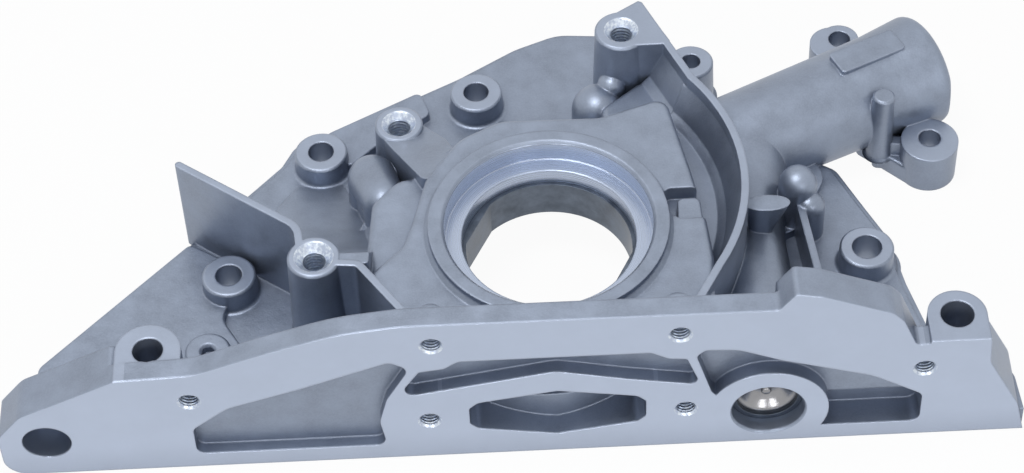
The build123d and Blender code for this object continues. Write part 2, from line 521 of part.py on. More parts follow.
def bores():
    """Seal bore, shaft hole, rotor pocket, ports, valve bore and all screw holes."""
    cut = post(0, 0, SEAL_BORE_R, SEAL_FACE_Z - SEAL_DEPTH, SEAL_FACE_Z + 1)
    cut += Pos(0, 0, SEAL_FACE_Z - 0.5) * Cone(SEAL_BORE_R - 0.2, SEAL_BORE_R + 1.0, 1.2)
    cut += post(0, 0, SHAFT_HOLE_R, 0, SEAL_FACE_Z)
    cut += Pos(*ROTOR_AXIS, 0) * post(0, 0, POCKET_R, COVER_BACK, ROTOR_POCKET_TOP)
    cut += extrude(cover_outline(COVER_GAP), POCKET_FLOOR)
    cut += port(-140.0, -58.0, 3.0, ROTOR_POCKET_TOP)
    cut += port(-2.0, 112.0, 3.0, ROTOR_POCKET_TOP)
    for x, y in SCREW_PLACES:
        cut += post(x, y, SCREW_R + FIT, POCKET_FLOOR, POCKET_FLOOR + SCREW_L - COVER_T + 1.5)
    for x, y in DOWEL_PLACES:
        cut += post(x, y, DOWEL_R + FIT, POCKET_FLOOR, POCKET_FLOOR + DOWEL_L / 2)
    cut += front_post(VALVE_X, VALVE_Z, VALVE_MOUTH_R, SUMP_Y, SUMP_Y + VALVE_MOUTH_L)
    cut += Pos(VALVE_X, SUMP_Y + 0.3, VALVE_Z) * Rot(90, 0, 0) * Cone(VALVE_MOUTH_R, VALVE_MOUTH_R + 0.6, 0.6)
    cut += front_post(VALVE_X, VALVE_Z, VALVE_BORE_R, SUMP_Y, VALVE_END_Y)
    cut += front_post(VALVE_X, VALVE_Z, VALVE_BORE_R - 2, SUMP_Y, VALVE_END_Y + 1.5)
    for name, x, y, radius, top, hole_r in BLOCK_BOLTS:
        cut += post(x, y, hole_r, -1, top + 1)
    for x, y, radius, top, hole_r in CORNER_BOLTS:
        cut += post(x, y, hole_r, -1, top + 1)
    for x, y in DUCT_EARS:
        cut += post(x, y, EAR_HOLE_R, -1, EAR_H + 1)
    for x, y, radius, top, mouth in TAPPED_BOSSES:
        cut += Pos(x, y, top) * tapped(TAP_DEPTH + 3, M8_R, mouth)
    for x, z in SUMP_TAPS + INLET_TAPS:
        cut += front_tapped(x, z, TAP_DEPTH - 2)
    cut += front_post(GAUGE_HOLE_X, GAUGE_HOLE_Z, GAUGE_HOLE_R, SUMP_Y, SUMP_Y + 11.5)
    return cut


def duct_bore():
    """Delivery passage: from the port over the rotors into the duct and down to the block."""
    axis = Pos(DUCT_X, DUCT_Y, DUCT_R) * Rot(0, 0, DUCT_ANGLE) * Rot(0, 90, 0)
    grow = Align.CENTER, Align.CENTER, Align.MIN
    core = axis * Pos(0, 0, 4) * Cylinder(DUCT_R - DUCT_WALL - 1.2, DUCT_L - 3.9, align=grow)
    start, end = Vector(15.2, 32.6, 31.0), Vector(60.0, 49.2, 17.0)
    feed = Plane(origin=start, z_dir=end - start) * Cylinder(4.0, (end - start).length, align=grow)
    down = post(PORT_X, PORT_Y, PORT_R, -1, DUCT_R)
    groove = post(PORT_X, PORT_Y, PORT_R + 3.2, -1, 1.8)
    relief = front_post(VALVE_X, VALVE_Z, 4.0, VALVE_END_Y, DUCT_Y)
    spill = post(VALVE_X, VALVE_END_Y - PISTON_T - 6, 3.5, -1, VALVE_Z)
    return core + feed + down + groove + relief + spill


def pump_housing():
    solid = rim_plate() + pump_body() + front_ribs() + gallery() + sump_flange() + corner_bosses()
    solid += valve_barrel() + delivery_duct()
    solid += post(0, 0, SEAL_RING_R, DECK_Z - 1, SEAL_FACE_Z)
    solid += Pos(0, 0, DECK_Z + 0.7) * Cone(SEAL_RING_R + 1.4, SEAL_RING_R, 1.4)
    for name, x, y, radius, top, hole_r in BLOCK_BOLTS:
        floor = 0.0 if name == "g" else PLATE_H
        solid += boss(x, y, radius, floor, top, foot=1.2)
        if name != "g":
            solid += post(x, y, radius + 2.6, 0, PLATE_H - RIM_STEP)
    for x, y, radius, top, mouth in TAPPED_BOSSES:
        solid += boss(x, y, radius, PLATE_H - 1, top, foot=2.5)
    for x, z in SUMP_TAPS:
        solid += front_post(x, z, 5.6, SUMP_Y + 1, SUMP_Y + TAP_DEPTH - 3)
        solid += Pos(x, SUMP_Y + TAP_DEPTH - 1.5, z) * Rot(-90, 0, 0) * Cone(5.6, 2.6, 3.0)
    solid += dome(17.3, 61.5, 8.0, PLATE_H - 1, 28.5) + dome(21.8, 66.0, 4.4, PLATE_H - 1, 30.5)
    solid += boss(*LOW_BOSS, 6.6, PLATE_H - 1, 15.5, foot=1.5)
    solid -= Pos(*LOW_BOSS, 15.5) * tapped(3.0, 1.8, 0.8)
    solid -= slab([(33.4, 12.8, 3), (33.4, 3.5, 3), (38.0, 1.2, 1), (48.0, 1.2, 1), (48.0, 12.8, 1)], DECK_Z - 5, DECK_Z + 1)
    deck_block = [(37.4, 9.6, 2), (37.0, 0.6, 1), (44.4, 0.6, 1), (44.0, 9.6, 2)]
    solid += soft_slab(deck_block, DECK_Z - 6, DECK_Z - 0.8, 0.7)
    solid -= back_hollows()
    solid -= sump_recesses()
    solid -= suction_passage()
    solid -= bores()
    solid -= duct_bore()
    return solid


def inner_rotor_outline():
    """Envelope of the outer rotor's lobes as they roll round the inner rotor."""
    lobes = TEETH + 1
    reach = LOBE_R + TIP_CLEARANCE
    points = []
    steps = 16 * TEETH
    for i in range(steps):
        t = 2 * math.pi * i / steps
        x = LOBE_CIRCLE_R * math.cos(t) + ECCENTRICITY * math.cos(lobes * t)
        y = LOBE_CIRCLE_R * math.sin(t) + ECCENTRICITY * math.sin(lobes * t)
        dx = -LOBE_CIRCLE_R * math.sin(t) - ECCENTRICITY * lobes * math.sin(lobes * t)
        dy = LOBE_CIRCLE_R * math.cos(t) + ECCENTRICITY * lobes * math.cos(lobes * t)
        size = math.hypot(dx, dy)
        points.append((x - reach * dy / size, y + reach * dx / size))
    arcs = [ThreePointArc(points[i], points[i + 1], points[(i + 2) % steps]) for i in range(0, steps, 2)]
    return make_face(arcs)


def inner_rotor():
    disc = extrude(Rot(0, 0, LINE_ANGLE) * inner_rotor_outline(), ROTOR_T)
    bore = Circle(DRIVE_BORE_R) & Rectangle(2 * DRIVE_FLAT, 4 * DRIVE_BORE_R)
    disc -= extrude(Rot(0, 0, DRIVE_ANGLE) * bore, ROTOR_T)
    return Pos(0, 0, POCKET_FLOOR + END_PLAY / 2) * disc


def outer_rotor():
    lobes = TEETH + 1
    root = LOBE_CIRCLE_R + 2 * ECCENTRICITY - LOBE_R + 2 * TIP_CLEARANCE
    hollow = Circle(root)
    for i in range(lobes):
        hollow -= Rot(0, 0, 360.0 * i / lobes) * Pos(LOBE_CIRCLE_R, 0) * Circle(LOBE_R)
    ring = extrude(Circle(OUTER_ROTOR_R) - hollow, ROTOR_T)
    return Pos(*ROTOR_AXIS, POCKET_FLOOR + END_PLAY / 2) * Rot(0, 0, LINE_ANGLE) * ring


def rear_cover():
    plate = extrude(cover_outline(), COVER_T)
    plate -= post(0, 0, COVER_HOLE_R, 0, COVER_T)
    plate -= Pos(0, 0, COVER_LEAD / 2) * Cone(COVER_HOLE_R + COVER_LEAD, COVER_HOLE_R, COVER_LEAD)
    for x, y in SCREW_PLACES:
        plate -= post(x, y, SCREW_R + 0.3, 0, COVER_T)
    for x, y in DOWEL_PLACES:
        plate -= post(x, y, DOWEL_R + FIT, 0, COVER_T)
    plate -= port(-140.0, -58.0, 1.5, COVER_T - 1.5)
    plate -= port(-2.0, 112.0, 1.5, COVER_T - 1.5)
    return Pos(0, 0, COVER_BACK) * plate


def cover_screw(x, y):
    """Screw with a flanged hexagon head, its head towards the engine block."""
    shank = post(0, 0, SCREW_R, 0, SCREW_L)
    washer = post(0, 0, SCREW_HEAD_R, -1.2, 0)
    head = extrude(RegularPolygon(SCREW_HEAD_R - 0.5, 6), -SCREW_HEAD_H)
    return Pos(x, y, COVER_BACK) * (shank + washer + head)


def relief_piston():
    """Cup piston at rest against the inner end of its bore, open towards the spring."""
    head_y = VALVE_END_Y
    cup = front_post(VALVE_X, VALVE_Z, VALVE_BORE_R - 0.04, head_y - PISTON_L, head_y)
    cup -= front_post(VALVE_X, VALVE_Z, VALVE_BORE_R - 1.5, head_y - PISTON_L, head_y - PISTON_T)
    return cup


CAP_T = 6.0
CAP_Y = SUMP_Y + VALVE_MOUTH_L - CAP_T     # outer face of the cap
SPRING_BACK_Y = VALVE_END_Y - PISTON_T     # bottom of the piston's cup


def relief_cap():
    """Steel cap that holds the spring, dished towards the sump side."""
    cap = front_post(VALVE_X, VALVE_Z, VALVE_MOUTH_R - 0.05, CAP_Y, CAP_Y + CAP_T)
    dish = Pos(VALVE_X, CAP_Y, VALVE_Z) * Rot(90, 0, 0) * Cone(5.2, 7.6, 3.2)
    cap -= dish
    cap += front_post(VALVE_X, VALVE_Z, 1.6, CAP_Y + 0.4, CAP_Y + 2.5)
    cap += front_post(VALVE_X, VALVE_Z, SPRING_R - 2 * SPRING_WIRE_R - 0.3, CAP_Y + CAP_T, CAP_Y + CAP_T + 4)
    return cap


def relief_spring():
    """Coil spring between the cap and the bottom of the piston."""
    front = CAP_Y + CAP_T + SPRING_WIRE_R
    length = SPRING_BACK_Y - SPRING_WIRE_R - front
    path = Helix(length / SPRING_TURNS, length, SPRING_R - SPRING_WIRE_R)
    profile = Plane(origin=path @ 0, z_dir=path % 0) * RegularPolygon(SPRING_WIRE_R, 4)
    coil = sweep(profile, path=path, is_frenet=True)
    return Pos(VALVE_X, front, VALVE_Z) * Rot(-90, 0, 0) * coil


def relief_circlip():
    """Open spring ring that holds the cap in the mouth of the bore."""
    ring = Circle(VALVE_MOUTH_R - 0.05) - Circle(VALVE_MOUTH_R - 1.6)
    ring -= Pos(0, VALVE_MOUTH_R) * Rectangle(4.0, 6.0)
    plane = Plane(origin=(VALVE_X, CAP_Y, VALVE_Z), x_dir=(1, 0, 0), z_dir=(0, -1, 0))
    return extrude(plane * ring, 1.2)


def core_plug():
    """Cup plug pressed into the open end of the duct."""
    axis = Pos(DUCT_X, DUCT_Y, DUCT_R) * Rot(0, 0, DUCT_ANGLE) * Rot(0, 90, 0)
    grow = Align.CENTER, Align.CENTER, Align.MIN
    radius = DUCT_R - DUCT_WALL - 1.2 - FIT
    plug = axis * Pos(0, 0, DUCT_L - PLUG_L - 1) * Cylinder(radius, PLUG_L, align=grow)
    return plug - axis * Pos(0, 0, DUCT_L - PLUG_L + 0.5) * Cylinder(radius - 1.5, PLUG_L, align=grow)


def port_ring():
    """Rubber ring in the groove round the delivery port."""
    ring = Circle(PORT_R + 3.2 - FIT) - Circle(PORT_R + 0.6)
    return Pos(PORT_X, PORT_Y, 0.1) * extrude(ring, 1.7)


def cover_dowel(x, y):
    return post(x, y, DOWEL_R, POCKET_FLOOR - DOWEL_L / 2, POCKET_FLOOR + DOWEL_L / 2 - 0.2)


os.makedirs("parts", exist_ok=True)
NODES = {
    "pump_housing": pump_housing(),
    "rear_cover": rear_cover(),
    "inner_rotor": inner_rotor(),
    "outer_rotor": outer_rotor(),
    "relief_piston": relief_piston(),
    "relief_spring": relief_spring(),
    "relief_cap": relief_cap(),
    "relief_circlip": relief_circlip(),
    "duct_core_plug": core_plug(),
    "delivery_port_ring": port_ring(),
}
for i, (x, y) in enumerate(SCREW_PLACES):
    NODES[f"cover_screw_{i + 1}"] = cover_screw(x, y)
for i, (x, y) in enumerate(DOWEL_PLACES):
    NODES[f"cover_dowel_{i + 1}"] = cover_dowel(x, y)
for name, part in NODES.items():
    export_step(part, f"parts/{name}.step")
    print(name, round(part.volume, 1), len(part.solids()), len(part.faces()))
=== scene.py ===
import json
import math

import bpy
from bpy.props import FloatProperty, FloatVectorProperty, IntProperty, PointerProperty
from mathutils import Matrix, Vector


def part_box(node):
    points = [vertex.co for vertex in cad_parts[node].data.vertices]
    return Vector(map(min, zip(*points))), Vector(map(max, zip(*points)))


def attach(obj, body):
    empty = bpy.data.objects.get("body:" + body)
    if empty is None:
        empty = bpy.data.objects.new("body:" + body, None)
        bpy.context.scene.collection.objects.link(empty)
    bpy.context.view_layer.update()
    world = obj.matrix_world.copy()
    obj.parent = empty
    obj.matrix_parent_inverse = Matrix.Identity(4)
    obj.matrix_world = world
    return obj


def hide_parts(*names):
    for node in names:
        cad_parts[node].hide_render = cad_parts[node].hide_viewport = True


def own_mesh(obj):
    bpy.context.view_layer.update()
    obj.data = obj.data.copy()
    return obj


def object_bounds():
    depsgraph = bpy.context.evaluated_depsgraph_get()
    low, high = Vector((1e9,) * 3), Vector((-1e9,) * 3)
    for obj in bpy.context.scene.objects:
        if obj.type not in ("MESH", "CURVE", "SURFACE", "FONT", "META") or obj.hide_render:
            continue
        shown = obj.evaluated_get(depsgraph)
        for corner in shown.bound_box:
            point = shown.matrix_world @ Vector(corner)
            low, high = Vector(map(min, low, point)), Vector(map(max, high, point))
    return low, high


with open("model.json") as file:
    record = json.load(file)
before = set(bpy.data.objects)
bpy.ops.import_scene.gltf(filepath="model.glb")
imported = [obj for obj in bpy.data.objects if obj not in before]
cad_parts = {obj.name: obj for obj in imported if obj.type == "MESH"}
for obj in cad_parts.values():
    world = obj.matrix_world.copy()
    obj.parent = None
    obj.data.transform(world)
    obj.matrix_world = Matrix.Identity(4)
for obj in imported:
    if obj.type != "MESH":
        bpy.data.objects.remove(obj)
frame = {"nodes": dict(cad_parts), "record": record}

bl_info = {
    "name": "Engine oil pump finish",
    "version": (1, 0, 0),
    "blender": (4, 5, 0),
    "location": "3D View > Sidebar > Oil pump",
    "description": "Finishes the casting, rotors, cover, relief valve and duct of an engine oil pump",
    "category": "Object",
}

CAD_BOX = [list(corner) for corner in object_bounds()]
MM = 0.001


# Settings


class CastingSettings(bpy.types.PropertyGroup):
    skin: FloatVectorProperty(
        name="Cast skin", description="Colour of the rough cast surface", subtype="COLOR", min=0, max=1,
        default=(0.268, 0.310, 0.392),
    )
    bright: FloatVectorProperty(
        name="Machined face", description="Colour of the milled and turned faces", subtype="COLOR",
        min=0, max=1, default=(0.470, 0.534, 0.662),
    )
    # Corner tone: painted shade, with some dirt, that darkens corners and pockets
    corner_shade_and_dirt: FloatVectorProperty(
        name="Corner tone", description="Darker tone that gathers in corners and pockets", subtype="COLOR",
        min=0, max=1, default=(0.115, 0.134, 0.185),
    )
    # Bright cut metal of the tapped mouths and threads, speckled with painted glints
    cut_and_glint: FloatVectorProperty(
        name="Cut and glints", description="Colour of the chamfers at the tapped holes", subtype="COLOR",
        min=0, max=1, default=(0.720, 0.780, 0.850),
    )
    edge_radius: FloatProperty(
        name="Edge radius", description="How round the cast edges look", unit="LENGTH",
        default=0.9 * MM, min=0,
    )
    grain: FloatProperty(
        name="Grain size", description="Size of the cast skin's grain", unit="LENGTH",
        default=0.55 * MM, min=1e-5,
    )
    blotch: FloatProperty(
        name="Blotch size", description="Size of the pale and dark patches", unit="LENGTH",
        default=9 * MM, min=1e-4,
    )


class SteelSettings(bpy.types.PropertyGroup):
    rotor: FloatVectorProperty(
        name="Rotor steel", description="Colour of the sintered rotors", subtype="COLOR", min=0, max=1,
        default=(0.120, 0.142, 0.178),
    )
    ground: FloatVectorProperty(
        name="Ground steel", description="Colour of ground and turned steel", subtype="COLOR", min=0, max=1,
        default=(0.430, 0.450, 0.475),
    )
    cap: FloatVectorProperty(
        name="Valve cap", description="Colour of the turned cap in the valve's mouth", subtype="COLOR",
        min=0, max=1, default=(0.300, 0.300, 0.312),
    )
    zinc: FloatVectorProperty(
        name="Zinc plate", description="Colour of the plated screws", subtype="COLOR", min=0, max=1,
        default=(0.480, 0.455, 0.360),
    )
    rubber: FloatVectorProperty(
        name="Rubber", description="Colour of the port's ring", subtype="COLOR", min=0, max=1,
        default=(0.018, 0.018, 0.019),
    )
    screw_grooves: IntProperty(
        name="Thread grooves", description="Grooves along a cover screw", default=10, min=2, max=20,
    )
    spring_turns: IntProperty(
        name="Spring turns", description="Open turns of the relief spring", default=6, min=3, max=12,
    )


class StageSettings(bpy.types.PropertyGroup):
    floor: FloatVectorProperty(
        name="Floor", description="Colour of the floor", subtype="COLOR", min=0, max=1,
        default=(0.86, 0.87, 0.88),
    )
    sky: FloatProperty(
        name="Room light", description="Strength of the even light of the room", default=0.30, min=0,
    )
    key: FloatProperty(
        name="Key light", description="Power of the lamp over the pump", unit="POWER", default=4.2, min=0,
    )
    fill: FloatProperty(
        name="Fill light", description="Power that the two low lamps in front take their shares of",
        unit="POWER", default=4.4, min=0,
    )
    lens: FloatProperty(
        name="Lens", description="Focal length of the camera in millimetres", default=101.95, min=10,
    )


# Nodes


class Desk:
    """Adds nodes to one node tree and joins them."""

    def __init__(self, tree):
        self.tree = tree
        self.column = 0

    def add(self, kind, inputs=None, **settings):
        node = self.tree.nodes.new("ShaderNode" + kind)
        node.location = (self.column * 190, 0)
        self.column += 1
        for name, value in settings.items():
            setattr(node, name, value)
        for socket, value in (inputs or {}).items():
            self.feed(node.inputs[socket], value)
        return node

    def feed(self, socket, value):
        if isinstance(value, bpy.types.NodeSocket):
            self.tree.links.new(value, socket)
        else:
            socket.default_value = value

    def math(self, operation, first, second=0.0):
        return self.add("Math", {0: first, 1: second}, operation=operation).outputs[0]

    def compare(self, value, level, tolerance):
        return self.add("Math", {0: value, 1: level, 2: tolerance}, operation="COMPARE").outputs[0]

    def vector(self, operation, first, second=(0, 0, 0)):
        return self.add("VectorMath", {0: first, 1: second}, operation=operation)

    def noise(self, place, scale, detail, roughness):
        inputs = {"Vector": place, "Scale": scale, "Detail": detail, "Roughness": roughness}
        return self.add("TexNoise", inputs).outputs["Fac"]

    def spread(self, value, low, high, to_low=0.0, to_high=1.0):
        inputs = {"Value": value, "From Min": low, "From Max": high, "To Min": to_low, "To Max": to_high}
        return self.add("MapRange", inputs).outputs["Result"]

    def mix(self, factor, first, second, blend="MIX"):
        node = self.add("Mix", data_type="RGBA", blend_type=blend)
        self.feed(node.inputs[0], factor)
        self.feed(node.inputs[6], first)
        self.feed(node.inputs[7], second)
        return node.outputs[2]

    def group(self, name, inputs):
        node = self.add("Group")
        node.node_tree = bpy.data.node_groups[name]
        for socket, value in inputs.items():
            self.feed(node.inputs[socket], value)
        return node


def new_group(name, inputs, outputs):
    """Empty shader group; inputs are (name, kind, default), outputs are (name, kind)."""
    tree = bpy.data.node_groups.new(name, "ShaderNodeTree")
    for label, kind, value in inputs:
        socket = tree.interface.new_socket(name=label, in_out="INPUT", socket_type="NodeSocket" + kind)
        socket.default_value = value
    for label, kind in outputs:
        tree.interface.new_socket(name=label, in_out="OUTPUT", socket_type="NodeSocket" + kind)
    desk = Desk(tree)
    start = tree.nodes.new("NodeGroupInput")
    end = tree.nodes.new("NodeGroupOutput")
    return desk, start.outputs, end.inputs


def build_skin_group():
    """Grain, pits and patches of a cast or sintered surface."""
    desk, given, out = new_group(
        "Surface skin",
        [("Grain size", "Float", 0.5 * MM), ("Patch size", "Float", 9 * MM)],
        [("Height", "Float"), ("Patch", "Float"), ("Speck", "Float")],
    )
    # Scales as shares of one over the grain's size, and what each layer gives to the height
    coarse_scale, pit_scale = 0.22, 0.3
    fine_weight, coarse_weight, pit_weight = 0.45, 0.8, 0.25
    place = desk.add("TexCoord").outputs["Object"]
    fine = desk.noise(place, desk.math("DIVIDE", 1.0, given["Grain size"]), 3.0, 0.6)
    coarse = desk.noise(place, desk.math("DIVIDE", coarse_scale, given["Grain size"]), 2.0, 0.5)
    patch = desk.noise(place, desk.math("DIVIDE", 1.0, given["Patch size"]), 4.0, 0.6)
    cells = {"Vector": place, "Scale": desk.math("DIVIDE", pit_scale, given["Grain size"])}
    pits = desk.spread(desk.add("TexVoronoi", cells, feature="F1").outputs["Distance"], 0.04, 0.22)
    height = desk.math("MULTIPLY", fine, fine_weight)
    height = desk.math("ADD", height, desk.math("MULTIPLY", coarse, coarse_weight))
    height = desk.math("ADD", height, desk.math("MULTIPLY", pits, pit_weight))
    desk.feed(out["Height"], height)
    desk.feed(out["Patch"], desk.spread(patch, 0.3, 0.7))
    desk.feed(out["Speck"], desk.spread(fine, 0.35, 0.7))


def build_edge_group():
    """Rounded look of edges, with masks for outer edges, which are painted as wear and highlight, and for
    corners, which get painted shade.
    """
    desk, given, out = new_group(
        "Soft edges",
        [("Radius", "Float", 1 * MM), ("Reach", "Float", 12 * MM)],
        [("Normal", "Vector"), ("Edge", "Float"), ("Corner", "Float")],
    )
    rounded = desk.add("Bevel", {"Radius": given["Radius"]}, samples=6).outputs["Normal"]
    flat = desk.add("NewGeometry").outputs["Normal"]
    turned = desk.vector("DISTANCE", rounded, flat).outputs["Value"]
    # Share of the room's light that reaches a point; where it lacks, the corners get painted shade
    open_share = desk.add("AmbientOcclusion", {"Distance": given["Reach"]}, samples=8).outputs["AO"]
    corner = desk.spread(open_share, 0.85, 0.2)
    edge = desk.math("MULTIPLY", desk.spread(turned, 0.22, 0.7), desk.math("SUBTRACT", 1.0, corner))
    desk.feed(out["Normal"], rounded)
    desk.feed(out["Edge"], edge)
    desk.feed(out["Corner"], corner)


def build_turning_group():
    """Fine rings that a cutting tool leaves round an axis, on faces across it and on walls along it."""
    desk, given, out = new_group(
        "Turning rings",
        [("Centre", "Vector", (0, 0, 0)), ("Across", "Vector", (1, 1, 0)), ("Pitch", "Float", 0.4 * MM)],
        [("Height", "Float")],
    )
    place = desk.add("TexCoord").outputs["Object"]
    offset = desk.vector("SUBTRACT", place, given["Centre"]).outputs[0]
    across = desk.vector("MULTIPLY", offset, given["Across"]).outputs[0]
    along = desk.vector("SUBTRACT", offset, across).outputs[0]
    radius = desk.vector("LENGTH", across).outputs["Value"]
    reach = desk.math("ADD", radius, desk.vector("LENGTH", along).outputs["Value"])
    scale = desk.math("DIVIDE", 1.0, given["Pitch"])
    rings = desk.add("TexNoise", {"W": reach, "Scale": scale, "Detail": 2.0}, noise_dimensions="1D")
    desk.feed(out["Height"], rings.outputs["Fac"])


def build_hole_group():
    """Mask of what lies within a radius of an axis, and the thread cut into it."""
    desk, given, out = new_group(
        "Round hole",
        [
            ("Centre", "Vector", (0, 0, 0)), ("Axis", "Vector", (0, 0, 1)),
            ("Radius", "Float", 4 * MM), ("Length", "Float", 20 * MM), ("Pitch", "Float", 1 * MM),
        ],
        [("Mask", "Float"), ("Thread", "Float")],
    )
    place = desk.add("TexCoord").outputs["Object"]
    offset = desk.vector("SUBTRACT", place, given["Centre"]).outputs[0]
    along = desk.vector("DOT_PRODUCT", offset, given["Axis"]).outputs["Value"]
    lengthwise = desk.add("VectorMath", {0: given["Axis"], "Scale": along}, operation="SCALE").outputs[0]
    reach = desk.vector("DISTANCE", offset, lengthwise).outputs["Value"]
    near = desk.math("LESS_THAN", reach, given["Radius"])
    inside = desk.math("LESS_THAN", desk.math("ABSOLUTE", along), given["Length"])
    mask = desk.math("MULTIPLY", near, inside)
    half_pitch = desk.math("MULTIPLY", given["Pitch"], 0.5)
    ridge = desk.math("DIVIDE", desk.math("PINGPONG", along, half_pitch), half_pitch)
    desk.feed(out["Mask"], mask)
    desk.feed(out["Thread"], desk.math("MULTIPLY", ridge, mask))


def build_groups():
    build_skin_group()
    build_edge_group()
    build_turning_group()
    build_hole_group()


def new_material(name):
    """Material whose tree has a shader and an output only, with its desk and that shader."""
    material = bpy.data.materials.new(name)
    material.use_nodes = True
    material.node_tree.nodes.clear()
    desk = Desk(material.node_tree)
    shader = desk.add("BsdfPrincipled")
    end = desk.add("OutputMaterial", {"Surface": shader.outputs[0]})
    end.location = (5200, 0)
    return material, desk, shader


def rgba(colour, factor=1.0):
    return tuple(c * factor for c in colour) + (1.0,)


def dress(node_name, material):
    """Gives a CAD node one material on all its slots."""
    slots = frame["nodes"][node_name].data.materials
    if not slots:
        slots.append(material)
    for i in range(len(slots)):
        slots[i] = material


# Casting


# Holes, in mm: depth of the front posts' taps, half the masks' lengths, the thread pitches, and how far
# a mask reaches past the wall or the end that it covers
TAP_DEPTH = 16.0
M8_HALF, M6_HALF = 9.0, 11.0
M8_PITCH, M6_PITCH = 1.25, 1.0
BORE_COVER, END_COVER = 0.15, 0.3
M8_COVER, M6_COVER = 0.12, 0.1
MOUTH_COVER, MOUTH_END_COVER = 0.1, 0.05
M6_MOUTH, M6_MOUTH_HALF = 0.85, 2.1
VALVE_MOUTH_MID_Y, VALVE_MOUTH_R, VALVE_MOUTH_HALF = -44.0, 10.4, 6.5


def casting_holes():
    """Holes by the record's mounts, as (centre, axis, radius, half length, pitch, chamfer)."""
    holes = []

    def hole(centre, axis, radius, half, pitch=0.0, chamfer=False):
        holes.append((centre, axis, radius * MM, half * MM, pitch * MM, chamfer))

    for mount in frame["record"]["mounts"]:
        dims = mount["dims"]
        centre, axis = Vector(mount["pos_m"]), Vector(mount["axis"])
        if mount["kind"] == "bore" and mount["name"] != "cover_passage":
            hole(centre, axis, dims["r_mm"] + BORE_COVER, dims["length_mm"] / 2 + END_COVER)
        elif mount["kind"] == "threaded_hole":
            hole(centre, axis, dims["r_mm"] + M8_COVER, M8_HALF, M8_PITCH)
            mouth = TAP_DEPTH - dims["length_mm"]
            middle = centre + axis * (TAP_DEPTH - mouth) / 2 * MM
            mouth_r, mouth_half = dims["r_mm"] + mouth + MOUTH_COVER, mouth / 2 + MOUTH_END_COVER
            hole(middle, axis, mouth_r, mouth_half, chamfer=True)
        elif mount["kind"] == "bolt_pattern":
            half_spacing = dims["spacing_x_mm"] / 2 * MM
            for side in (-half_spacing, half_spacing):
                spot = centre + Vector((side, 0, 0))
                hole(spot, axis, dims["hole_r_mm"] + M6_COVER, M6_HALF, M6_PITCH)
                hole(spot, axis, dims["hole_r_mm"] + M6_MOUTH, M6_MOUTH_HALF, chamfer=True)
    low, high = (Vector(corner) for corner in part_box("relief_cap"))
    mouth = Vector(((low.x + high.x) / 2, VALVE_MOUTH_MID_Y * MM, (low.z + high.z) / 2))
    hole(mouth, Vector((0, 1, 0)), VALVE_MOUTH_R, VALVE_MOUTH_HALF)
    return holes


# Level faces by their height above the block face in mm: the block face is finely milled, and the boss
# tops only got a light cut
BLOCK_FACE = 0.0
BOSS_TOPS = (13.5, 16.0, 17.0, 17.5, 30.0, 41.0, 42.3, 43.0)
BOSS_SHARE = 0.4
SUMP_FACE_Y = -50 * MM
FACE_TOLERANCE = 0.12 * MM
FACE_SQUARE = 0.98         # share of its normal along an axis from which a face counts as square to it
CRANK_TURNING_R = 36 * MM  # turned faces and bores round the crank axis lie within this radius

# Tones as shares of the skin's or the machined faces' colour, and how far they cover what is below
PATCH_TONES = (0.86, 1.12)
SPECK_TONE, SPECK_COVER = 1.25, 0.35
# How far the outer edges are painted in the machined colour: partly wear, partly a painted highlight
EDGE_WEAR_AND_SHEEN_COVER = 0.45
TOOL_MARK_TONES = (0.97, 1.03)
STAIN_TONE, STAIN_COVER = 0.88, 0.3
# Painted shade inside the plain bores, other than the taps and those round the crank: its tone and cover
BORE_SHADE_TONE, BORE_SHADE_COVER = 0.75, 0.5
TURNED_TONE, CUT_TONE = 0.97, 0.98
# How much painted shade the corners and pockets get, and how much less of it the holes get
CORNER_SHADE_COVER, LESS_IN_HOLES = 0.45, 0.35
CAST_ROUGHNESS = (0.35, 0.47)
MACHINED_ROUGHNESS = (0.22, 0.34)

# Heights as multiples of the grain's
TOOL_MARK_HEIGHT, THREAD_HEIGHT = 0.22, 4.0

# The sump face was milled by a wide cutter whose middle passed beside and below the part
CUTTER_MIDDLE = (0.12, 0, -0.16)


def machined_faces(desk, axes):
    """Mask of the sump face, the block face and, at a share, the boss tops."""
    normal = desk.add("NewGeometry").outputs["True Normal"]
    facing = desk.add("SeparateXYZ", {0: desk.vector("ABSOLUTE", normal).outputs[0]}).outputs
    level_face = desk.math("GREATER_THAN", facing[2], FACE_SQUARE)
    upright_face = desk.math("GREATER_THAN", facing[1], FACE_SQUARE)
    mask = desk.math("MULTIPLY", desk.compare(axes[1], SUMP_FACE_Y, FACE_TOLERANCE), upright_face)
    for height in (BLOCK_FACE,) + BOSS_TOPS:
        level = desk.math("MULTIPLY", desk.compare(axes[2], height * MM, FACE_TOLERANCE), level_face)
        share = 1.0 if height == BLOCK_FACE else BOSS_SHARE
        mask = desk.math("MAXIMUM", mask, desk.math("MULTIPLY", level, share))
    return mask


def hole_masks(desk):
    """Masks of all bores, of the tapped ones and of the chamfers, and the height of the threads."""
    bores = tapped = chamfers = threads = 0.0
    for centre, axis, radius, half, pitch, chamfer in casting_holes():
        hole = desk.group("Round hole", {
            "Centre": centre, "Axis": axis, "Radius": radius, "Length": half, "Pitch": pitch or 1 * MM,
        }).outputs
        bores = desk.math("MAXIMUM", bores, hole["Mask"])
        if chamfer:
            chamfers = desk.math("MAXIMUM", chamfers, hole["Mask"])
        elif pitch:
            tapped = desk.math("MAXIMUM", tapped, hole["Mask"])
            threads = desk.math("ADD", threads, hole["Thread"])
    return bores, tapped, chamfers, threads


